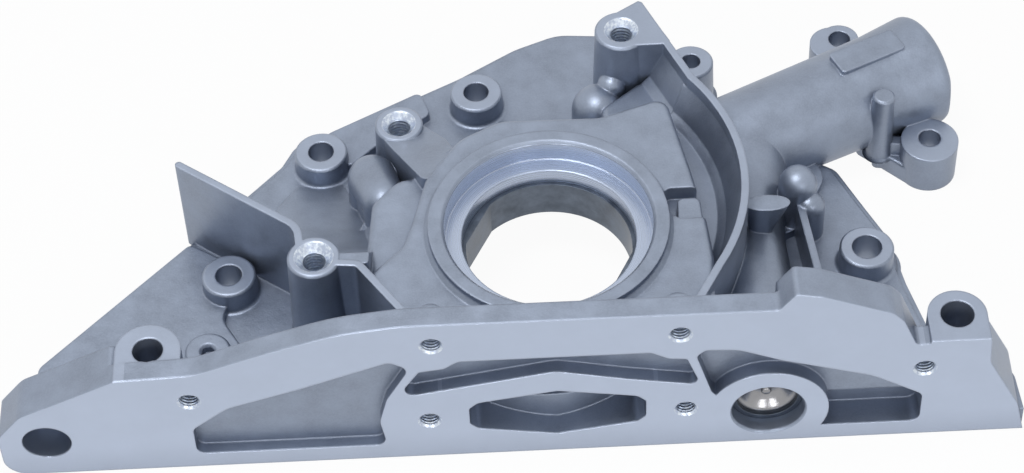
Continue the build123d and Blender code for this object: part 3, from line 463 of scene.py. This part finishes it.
def casting_material(settings):
    material, desk, shader = new_material("cast_aluminium")
    place = desk.add("TexCoord").outputs["Object"]
    bores, tapped, chamfers, threads = hole_masks(desk)
    milled = machined_faces(desk, desk.add("SeparateXYZ", {0: place}).outputs)
    milled = desk.math("MAXIMUM", milled, bores)
    across_crank = desk.vector("MULTIPLY", place, (1, 1, 0)).outputs[0]
    crank_reach = desk.vector("LENGTH", across_crank).outputs["Value"]
    round_crank = desk.math("LESS_THAN", crank_reach, CRANK_TURNING_R)
    turned = desk.math("MULTIPLY", milled, round_crank)

    grain = {"Grain size": settings.grain, "Patch size": settings.blotch}
    skin = desk.group("Surface skin", grain).outputs
    edges = desk.group("Soft edges", {"Radius": settings.edge_radius, "Reach": 18 * MM}).outputs
    turning = {"Centre": (0, 0, 0), "Pitch": 0.35 * MM}
    rings = desk.group("Turning rings", turning).outputs["Height"]
    milling = {"Centre": CUTTER_MIDDLE, "Across": (1, 0, 1), "Pitch": 4 * MM}
    sweep = desk.group("Turning rings", milling).outputs["Height"]
    marks = desk.mix(round_crank, desk.spread(sweep, 0, 1, 0.45, 0.55), rings)

    dark, pale = PATCH_TONES
    cast = desk.mix(skin["Patch"], rgba(settings.skin, dark), rgba(settings.skin, pale))
    specks = desk.math("MULTIPLY", skin["Speck"], SPECK_COVER)
    cast = desk.mix(specks, cast, rgba(settings.skin, SPECK_TONE))
    # Outer edges painted in the machined colour: partly wear, partly a painted highlight
    edge_wear_and_sheen = desk.math("MULTIPLY", edges["Edge"], EDGE_WEAR_AND_SHEEN_COVER)
    cast = desk.mix(edge_wear_and_sheen, cast, rgba(settings.bright))
    dark, pale = TOOL_MARK_TONES
    bright = desk.mix(marks, rgba(settings.bright, dark), rgba(settings.bright, pale))
    stains = desk.math("MULTIPLY", skin["Patch"], STAIN_COVER)
    bright = desk.mix(stains, bright, rgba(settings.bright, STAIN_TONE))
    colour = desk.mix(milled, cast, bright)
    # Painted shade inside the plain bores, the valve's mouth among them
    spared_from_bore_shade = desk.math("MAXIMUM", tapped, round_crank)
    shaded_bores = desk.math("MULTIPLY", bores, desk.math("SUBTRACT", 1.0, spared_from_bore_shade))
    shaded_bores = desk.math("MULTIPLY", shaded_bores, BORE_SHADE_COVER)
    colour = desk.mix(shaded_bores, colour, rgba(settings.skin, BORE_SHADE_TONE))
    colour = desk.mix(turned, colour, rgba(settings.bright, TURNED_TONE), "LIGHTEN")
    # Tapped mouths and threads: bright cut metal speckled with painted glints
    glint_specks = desk.spread(desk.noise(place, 900.0, 2.0, 0.6), 0.42, 0.62)
    cut = desk.mix(glint_specks, rgba(settings.bright, CUT_TONE), rgba(settings.cut_and_glint))
    colour = desk.mix(desk.math("MAXIMUM", chamfers, tapped), colour, cut)
    # Painted shade, with some dirt, in corners and pockets where less light reaches; the holes get less of
    # it
    lost = desk.math("MULTIPLY", desk.math("MAXIMUM", tapped, bores), LESS_IN_HOLES)
    shade = desk.math("SUBTRACT", CORNER_SHADE_COVER, lost)
    colour = desk.mix(desk.math("MULTIPLY", edges["Corner"], shade), colour, rgba(settings.corner_shade_and_dirt))

    rough_cast = desk.spread(skin["Patch"], 0, 1, *CAST_ROUGHNESS)
    rough_bright = desk.spread(marks, 0.2, 0.8, *MACHINED_ROUGHNESS)
    cast_height = desk.math("MULTIPLY", skin["Height"], desk.math("SUBTRACT", 1.0, milled))
    mark_height = desk.math("MULTIPLY", desk.math("MULTIPLY", marks, TOOL_MARK_HEIGHT), turned)
    height = desk.math("ADD", cast_height, mark_height)
    height = desk.math("ADD", height, desk.math("MULTIPLY", threads, THREAD_HEIGHT))
    relief = {"Strength": 0.55, "Distance": 0.16 * MM, "Height": height, "Normal": edges["Normal"]}
    desk.feed(shader.inputs["Base Color"], colour)
    desk.feed(shader.inputs["Roughness"], desk.mix(milled, rough_cast, rough_bright))
    desk.feed(shader.inputs["Normal"], desk.add("Bump", relief).outputs["Normal"])
    shader.inputs["Metallic"].default_value = 0.72
    return material


class PUMP_OT_finish_casting(bpy.types.Operator):
    """Give the housing its cast skin, milled faces, bores and threads"""

    bl_idname = "pump.finish_casting"
    bl_label = "Finish the casting"

    def execute(self, context):
        dress("pump_housing", casting_material(context.scene.pump_casting))
        return {"FINISHED"}


# Steel


# Tones as shares of the steel's colour, how far they cover it, the grain's height on turned faces as a
# share of the rings', and how much smoother and rougher than its mean a finish gets
STEEL_EDGE_TONE, STEEL_EDGE_COVER = 1.5, 0.5
# The corner tone is painted shade
STEEL_SHADE_TONE, STEEL_SHADE_COVER = 0.3, 0.55
TURNED_GRAIN_HEIGHT = 0.35
SMOOTHER, ROUGHER = 0.06, 0.08


def steel_material(name, colour, metallic=1.0, rough=0.32, centre=None, across=(1, 1, 0), mottle=0.05):
    """Steel with a fine skin, bright edges, painted shade in corners and, with a centre, tool rings."""
    material, desk, shader = new_material(name)
    skin = desk.group("Surface skin", {"Grain size": 0.4 * MM, "Patch size": 6 * MM}).outputs
    edges = desk.group("Soft edges", {"Radius": 0.3 * MM, "Reach": 4 * MM}).outputs
    base = desk.mix(skin["Patch"], rgba(colour, 1 - mottle), rgba(colour, 1 + mottle))
    edge_cover = desk.math("MULTIPLY", edges["Edge"], STEEL_EDGE_COVER)
    base = desk.mix(edge_cover, base, rgba(colour, STEEL_EDGE_TONE))
    # Painted shade in the corners, where less light reaches
    steel_corner_shade = desk.math("MULTIPLY", edges["Corner"], STEEL_SHADE_COVER)
    base = desk.mix(steel_corner_shade, base, rgba(colour, STEEL_SHADE_TONE))
    height = skin["Height"]
    if centre is not None:
        turning = {"Centre": centre, "Across": across, "Pitch": 0.22 * MM}
        rings = desk.group("Turning rings", turning).outputs["Height"]
        height = desk.math("ADD", desk.math("MULTIPLY", height, TURNED_GRAIN_HEIGHT), rings)
    relief = {"Strength": 0.5, "Distance": 0.04 * MM, "Height": height, "Normal": edges["Normal"]}
    roughness = desk.spread(skin["Patch"], 0, 1, rough - SMOOTHER, rough + ROUGHER)
    desk.feed(shader.inputs["Base Color"], base)
    desk.feed(shader.inputs["Roughness"], roughness)
    desk.feed(shader.inputs["Normal"], desk.add("Bump", relief).outputs["Normal"])
    shader.inputs["Metallic"].default_value = metallic
    return material


# Modelling


def pick(piece):
    """Leaves this piece alone selected and active."""
    bpy.ops.object.select_all(action="DESELECT")
    bpy.context.view_layer.objects.active = piece
    piece.select_set(True)


def settle(piece):
    """Puts the place, turn and size of a piece into its mesh, so that its object stands at the origin."""
    pick(piece)
    bpy.ops.object.transform_apply(location=True, rotation=True, scale=True)


def smooth(piece, degrees=30):
    pick(piece)
    bpy.ops.object.shade_smooth_by_angle(angle=math.radians(degrees))


def on_whole_mesh(operator, **options):
    """Runs an edit mode operator with the whole mesh selected."""
    bpy.ops.mesh.select_all(action="SELECT")
    operator(**options)


def combine(piece, other, operation):
    """Joins two closed pieces, or keeps what they share, and takes the second one away."""
    tool = piece.modifiers.new(operation.lower(), "BOOLEAN")
    tool.operation = operation
    tool.solver = "EXACT"
    tool.object = other
    pick(piece)
    bpy.ops.object.modifier_apply(modifier=tool.name)
    bpy.data.objects.remove(other, do_unlink=True)


def turned_piece(name, centre, along, profile, sides=64):
    """Closed turned piece drawn out of a disc through (distance, radius) steps along an axis, both in mm."""
    bpy.ops.object.select_all(action="DESELECT")
    axis = Vector(along)
    turn = axis.to_track_quat("Z", "Y").to_euler()
    distance, radius = profile[0]
    place = Vector(centre) + axis * distance * MM
    bpy.ops.mesh.primitive_circle_add(
        vertices=sides, radius=radius * MM, fill_type="NGON", location=place, rotation=turn
    )
    piece = bpy.context.object
    piece.name = name
    bpy.ops.object.mode_set(mode="EDIT")
    for next_distance, next_radius in profile[1:]:
        step = axis * (next_distance - distance) * MM
        bpy.ops.mesh.extrude_region_move(TRANSFORM_OT_translate={"value": step})
        place = place + step
        share = next_radius / radius
        bpy.ops.transform.resize(value=(share, share, share), center_override=place)
        distance, radius = next_distance, next_radius
    on_whole_mesh(bpy.ops.mesh.normals_make_consistent, inside=False)
    bpy.ops.object.mode_set(mode="OBJECT")
    settle(piece)
    return piece


# Cover screw in mm: the hexagon, then (distance from the head's top, radius) of the turned forms
HEX_CORNER_R, HEX_H = 4.45, 4.4
HEAD_CHAMFER = [(0.0, 3.2), (0.02, 3.75), (0.55, 4.45), (4.6, 4.8)]
FLANGE = [(3.6, 3.3), (3.7, 4.35), (4.1, 4.9), (4.7, 4.98), (5.0, 4.9), (5.01, 2.75)]
THREAD_START, THREAD_END = 5.6, 16.4
THREAD_ROOT_R, THREAD_CREST_R = 2.62, 2.97
SCREW_POINT = (16.95, 2.1)
SCREW_WELD = 0.003         # points closer than this are made one after the two forms are joined


def cover_screw(node_name, grooves):
    """Cover screw with a chamfered hexagon, a flange below it and a threaded shank."""
    low, high = (Vector(corner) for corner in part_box(node_name))
    centre = Vector(((low.x + high.x) / 2, (low.y + high.y) / 2, low.z))
    middle = centre + Vector((0, 0, HEX_H / 2 * MM))
    bpy.ops.object.select_all(action="DESELECT")
    bpy.ops.mesh.primitive_cylinder_add(
        vertices=6, radius=HEX_CORNER_R * MM, depth=HEX_H * MM, location=middle
    )
    screw = bpy.context.object
    screw.name = node_name + "_plated"
    settle(screw)
    combine(screw, turned_piece("head_chamfer", centre, (0, 0, 1), HEAD_CHAMFER), "INTERSECT")
    profile = list(FLANGE)
    pitch = (THREAD_END - THREAD_START) / grooves
    for i in range(grooves):
        root = THREAD_START + i * pitch
        profile.append((root, THREAD_ROOT_R))
        profile.append((root + 0.35 * pitch, THREAD_CREST_R))
        profile.append((root + 0.5 * pitch, THREAD_CREST_R))
    profile += [(THREAD_END, THREAD_ROOT_R), SCREW_POINT]
    combine(screw, turned_piece("flange_and_shank", centre, (0, 0, 1), profile, sides=48), "UNION")
    bpy.ops.object.mode_set(mode="EDIT")
    on_whole_mesh(bpy.ops.mesh.remove_doubles, threshold=SCREW_WELD * MM)
    bpy.ops.mesh.dissolve_degenerate(threshold=SCREW_WELD * MM)
    bpy.ops.object.mode_set(mode="OBJECT")
    smooth(screw)
    return screw


def copy_to(pattern, node_name):
    """Copy of the first screw, with its own mesh, in the place of another one."""
    first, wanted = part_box("cover_screw_1"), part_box(node_name)
    pick(pattern)
    bpy.ops.object.duplicate(linked=False)
    piece = bpy.context.object
    piece.name = node_name + "_plated"
    bpy.ops.transform.translate(value=Vector(wanted[0]) - Vector(first[0]))
    settle(piece)
    return piece


# Valve cap in mm, as (distance from its outer face, radius): nub, dish, rim, outer wall and spring spigot
CAP_PROFILE = [
    (0.45, 0.6), (0.6, 1.15), (1.0, 1.5), (2.6, 1.6), (2.9, 2.0), (2.9, 3.4), (2.6, 4.4), (1.8, 5.6),
    (0.7, 6.9), (0.25, 7.35), (0.05, 7.9), (0.0, 8.4), (0.0, 9.5), (0.15, 9.9), (0.55, 10.18),
    (5.5, 10.18), (5.98, 9.7), (6.0, 3.7), (6.2, 3.35), (9.5, 3.3), (9.97, 2.8),
]


def relief_cap(centre):
    """Turned cap of the relief valve: rim, dish, central nub and the spigot that holds the spring."""
    outer_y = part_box("relief_cap")[0][1]
    face = Vector((centre.x, outer_y, centre.z))
    cap = turned_piece("relief_cap_turned", face, (0, 1, 0), CAP_PROFILE, sides=96)
    smooth(cap)
    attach(cap, "housing")
    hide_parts("relief_cap")
    return cap


WIRE_R = 0.9 * MM
WIRE_SIDES, TURN_STEPS = 12, 36
GROUND_OFF = 0.02 * MM     # how far inside the spring's box its ground ends lie


def wound_coil(name, start, mean_radius, first, height, turns):
    """Open tube of wire, wound round the valve's axis from one height over the next."""
    bpy.ops.object.select_all(action="DESELECT")
    place = start + Vector((mean_radius, first, 0))
    bpy.ops.mesh.primitive_circle_add(vertices=WIRE_SIDES, radius=WIRE_R, location=place)
    coil = bpy.context.object
    coil.name = name
    bpy.context.scene.cursor.location = start
    bpy.ops.object.origin_set(type="ORIGIN_CURSOR")
    screw = coil.modifiers.new("wind", "SCREW")
    screw.axis = "Y"
    screw.angle = math.tau * turns
    screw.screw_offset = height
    screw.steps = screw.render_steps = TURN_STEPS * turns
    bpy.ops.object.modifier_apply(modifier=screw.name)
    return coil


def relief_spring(centre, turns):
    """Coil spring with closed, ground ends."""
    low, high = (Vector(corner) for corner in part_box("relief_spring"))
    start = Vector((centre.x, low.y, centre.z))
    mean_radius = (high.x - low.x) / 2 - WIRE_R
    length = high.y - low.y
    first_turn = 0.5 * WIRE_R  # height of the wire's centre where the spring starts
    end_rise = 2.1 * WIRE_R    # rise of a closed end turn, a hair more than the wire is thick
    open_start = first_turn + end_rise
    near_end = wound_coil("coil_end", start, mean_radius, first_turn, end_rise, 1)
    spring = wound_coil("coil", start, mean_radius, open_start, length - 2 * open_start, turns)
    far_end = wound_coil("coil_back", start, mean_radius, length - open_start, end_rise, 1)
    pick(spring)
    near_end.select_set(True)
    far_end.select_set(True)
    bpy.ops.object.join()
    spring.name = "relief_spring_wound"
    bpy.ops.object.mode_set(mode="EDIT")
    on_whole_mesh(bpy.ops.mesh.remove_doubles, threshold=0.1 * WIRE_R)
    on_whole_mesh(bpy.ops.mesh.fill_holes, sides=0)
    on_whole_mesh(bpy.ops.mesh.normals_make_consistent, inside=False)
    for height, outwards in ((GROUND_OFF, (0, -1, 0)), (length - GROUND_OFF, (0, 1, 0))):
        on_whole_mesh(
            bpy.ops.mesh.bisect, plane_co=start + Vector((0, height, 0)), plane_no=outwards,
            clear_outer=True, use_fill=True,
        )
    on_whole_mesh(bpy.ops.mesh.dissolve_degenerate, threshold=0.001 * MM)
    on_whole_mesh(bpy.ops.mesh.normals_make_consistent, inside=False)
    bpy.ops.object.mode_set(mode="OBJECT")
    bpy.context.scene.cursor.location = (0, 0, 0)
    settle(spring)
    smooth(spring, 40)
    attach(spring, "housing")
    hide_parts("relief_spring")
    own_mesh(spring)
    return spring


class PUMP_OT_finish_rotors(bpy.types.Operator):
    """Give the rotor pair and the cover their ground steel faces"""

    bl_idname = "pump.finish_rotors"
    bl_label = "Finish rotors and cover"

    def execute(self, context):
        steel = context.scene.pump_steel
        inner = steel_material("inner_rotor_steel", steel.rotor, rough=0.36, centre=(0, 0, 0), mottle=0.35)
        dress("inner_rotor", inner)
        dress("outer_rotor", steel_material("outer_rotor_steel", steel.rotor, rough=0.36, centre=(0, 0, 0)))
        dress("rear_cover", steel_material("cover_plate", steel.ground, rough=0.34, centre=(0, 0, 0)))
        pin = steel_material("dowel_pin", steel.ground, rough=0.25)
        dress("cover_dowel_1", pin)
        dress("cover_dowel_2", pin)
        return {"FINISHED"}


class PUMP_OT_finish_screws(bpy.types.Operator):
    """Make the eight flanged cover screws with their zinc plate"""

    bl_idname = "pump.finish_screws"
    bl_label = "Finish the cover screws"

    def execute(self, context):
        steel = context.scene.pump_steel
        plated = steel_material("zinc_plated_screw", steel.zinc, rough=0.3)
        names = sorted(name for name in frame["nodes"] if name.startswith("cover_screw_"))
        pattern = cover_screw(names[0], steel.screw_grooves)
        pattern.data.materials.append(plated)
        for name in names:
            screw = copy_to(pattern, name) if name != names[0] else pattern
            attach(screw, "housing")
            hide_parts(name)
        return {"FINISHED"}


class PUMP_OT_finish_valve(bpy.types.Operator):
    """Finish the relief valve: piston, spring, cap and retaining ring"""

    bl_idname = "pump.finish_valve"
    bl_label = "Finish the relief valve"

    def execute(self, context):
        steel = context.scene.pump_steel
        low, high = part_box("relief_cap")
        centre = ((low[0] + high[0]) / 2, 0, (low[2] + high[2]) / 2)
        turned = {"centre": centre, "across": (1, 0, 1)}
        cap = relief_cap(Vector(centre))
        cap.data.materials.append(steel_material("turned_cap", steel.cap, rough=0.2, **turned))
        spring = relief_spring(Vector(centre), steel.spring_turns)
        spring.data.materials.append(steel_material("spring_wire", steel.ground, rough=0.3))
        dress("relief_piston", steel_material("ground_piston", steel.ground, rough=0.24, **turned))
        dress("relief_circlip", steel_material("phosphated_ring", steel.rotor, rough=0.42))
        return {"FINISHED"}


class PUMP_OT_finish_duct(bpy.types.Operator):
    """Finish the core plug and the rubber ring of the delivery duct"""

    bl_idname = "pump.finish_duct"
    bl_label = "Finish the duct's plug and ring"

    def execute(self, context):
        steel = context.scene.pump_steel
        dress("duct_core_plug", steel_material("pressed_plug", steel.zinc, rough=0.35))
        dress("delivery_port_ring", steel_material("moulded_rubber", steel.rubber, metallic=0.0, rough=0.55))
        return {"FINISHED"}


# Stage


FLOOR_SIDE = 6.0
FLOOR_GLOW = 0.95          # share of its white that the floor shows as seen light; the rest keeps the shadow
ROOM_TINT = (0.90, 0.95, 1.0, 1)
CAMERA_PLACE = (-0.01058, -0.53469, 0.67292)
CAMERA_DOWN, CAMERA_ROLL = math.radians(50.0), math.radians(2.65)
SENSOR_WIDTH_MM = 36.0
LEFT_SHARE, RIGHT_SHARE = 0.40, 0.44


def seen_rays(desk):
    """1 where the background is seen straight on, in a gloss or through glass."""
    path = desk.add("LightPath").outputs
    seen = desk.math("MAXIMUM", path["Is Camera Ray"], path["Is Glossy Ray"])
    return desk.math("MAXIMUM", seen, path["Is Transmission Ray"])


def lay_floor(settings):
    """Pale floor that is clear from below."""
    bpy.ops.object.select_all(action="DESELECT")
    bpy.ops.mesh.primitive_plane_add(size=FLOOR_SIDE, location=(0, 0, CAD_BOX[0][2]))
    floor = bpy.context.object
    floor.name = "studio_floor"
    material, desk, shader = new_material("floor_paper")
    shader.inputs["Base Color"].default_value = rgba(settings.floor)
    shader.inputs["Roughness"].default_value = 0.8
    glow = desk.add("Emission", {"Color": (1, 1, 1, 1), "Strength": 1.0})
    share = desk.math("MULTIPLY", seen_rays(desk), FLOOR_GLOW)
    glowing = desk.add("MixShader", {0: share, 1: shader.outputs[0], 2: glow.outputs[0]})
    clear = desk.add("BsdfTransparent")
    above = desk.math("SUBTRACT", 1.0, desk.add("NewGeometry").outputs["Backfacing"])
    blend = desk.add("MixShader", {0: above, 1: clear.outputs[0], 2: glowing.outputs[0]})
    end = material.node_tree.get_output_node("ALL")
    desk.feed(end.inputs["Surface"], blend.outputs[0])
    floor.data.materials.append(material)


def light_room(settings):
    """Even light of the room, seen as plain white."""
    world = bpy.data.worlds.new("studio_room")
    bpy.context.scene.world = world
    world.use_nodes = True
    world.node_tree.nodes.clear()
    desk = Desk(world.node_tree)
    room = desk.add("Background", {"Color": ROOM_TINT, "Strength": settings.sky})
    white = desk.add("Background", {"Color": (1, 1, 1, 1), "Strength": 1.0})
    blend = desk.add("MixShader", {0: seen_rays(desk), 1: room.outputs[0], 2: white.outputs[0]})
    desk.add("OutputWorld", {"Surface": blend.outputs[0]})


def area_lamp(name, place, target, size, power):
    data = bpy.data.lights.new(name, "AREA")
    data.shape = "DISK"
    data.size = size
    data.energy = power
    lamp = bpy.data.objects.new(name, data)
    bpy.context.collection.objects.link(lamp)
    lamp.location = place
    lamp.rotation_euler = (Vector(target) - Vector(place)).to_track_quat("-Z", "Y").to_euler()


def stand_camera(lens):
    """Camera at the photo's viewing angle, looking down along +Y and rolled a little."""
    data = bpy.data.cameras.new("photo_camera")
    data.lens = lens
    data.sensor_width = SENSOR_WIDTH_MM
    camera = bpy.data.objects.new("photo_camera", data)
    bpy.context.collection.objects.link(camera)
    look = Vector((0, math.cos(CAMERA_DOWN), -math.sin(CAMERA_DOWN)))
    level = Vector((0, math.sin(CAMERA_DOWN), math.cos(CAMERA_DOWN)))
    right = math.cos(CAMERA_ROLL) * Vector((1, 0, 0)) - math.sin(CAMERA_ROLL) * level
    up = math.sin(CAMERA_ROLL) * Vector((1, 0, 0)) + math.cos(CAMERA_ROLL) * level
    turn = Matrix((right, up, -look)).transposed().to_4x4()
    camera.matrix_world = Matrix.Translation(CAMERA_PLACE) @ turn
    bpy.context.scene.camera = camera


class PUMP_OT_set_stage(bpy.types.Operator):
    """Lay the pale floor, hang the lamps and stand the camera"""

    bl_idname = "pump.set_stage"
    bl_label = "Set the stage"

    def execute(self, context):
        settings = context.scene.pump_stage
        lay_floor(settings)
        light_room(settings)
        area_lamp("top_lamp", (-0.20, -0.06, 0.93), (0, 0.02, 0), 0.42, settings.key)
        area_lamp("left_lamp", (-0.30, -0.95, 0.42), (0, 0, 0.02), 0.35, settings.fill * LEFT_SHARE)
        area_lamp("right_lamp", (0.35, -0.92, 0.50), (0, 0, 0.02), 0.35, settings.fill * RIGHT_SHARE)
        stand_camera(settings.lens)
        context.scene.view_settings.view_transform = "Standard"
        return {"FINISHED"}


# Add-on


OPERATORS = (
    PUMP_OT_finish_casting,
    PUMP_OT_finish_rotors,
    PUMP_OT_finish_screws,
    PUMP_OT_finish_valve,
    PUMP_OT_finish_duct,
    PUMP_OT_set_stage,
)


class PUMP_PT_tools(bpy.types.Panel):
    """Lists the finishing steps in the 3D view's sidebar"""

    bl_idname = "PUMP_PT_tools"
    bl_label = "Oil pump"
    bl_space_type = "VIEW_3D"
    bl_region_type = "UI"
    bl_category = "Oil pump"

    def draw(self, context):
        for operator in OPERATORS:
            self.layout.operator(operator.bl_idname)


SETTINGS = {"pump_casting": CastingSettings, "pump_steel": SteelSettings, "pump_stage": StageSettings}


def register():
    for kind in (*SETTINGS.values(), *OPERATORS, PUMP_PT_tools):
        bpy.utils.register_class(kind)
    for name, kind in SETTINGS.items():
        setattr(bpy.types.Scene, name, PointerProperty(type=kind))


def unregister():
    for name in SETTINGS:
        delattr(bpy.types.Scene, name)
    for kind in (PUMP_PT_tools, *reversed(OPERATORS), *SETTINGS.values()):
        bpy.utils.unregister_class(kind)


def main():
    register()
    build_groups()
    bpy.ops.pump.finish_casting()
    bpy.ops.pump.finish_rotors()
    bpy.ops.pump.finish_screws()
    bpy.ops.pump.finish_valve()
    bpy.ops.pump.finish_duct()
    bpy.ops.pump.set_stage()


if __name__ == "__main__":
    main()
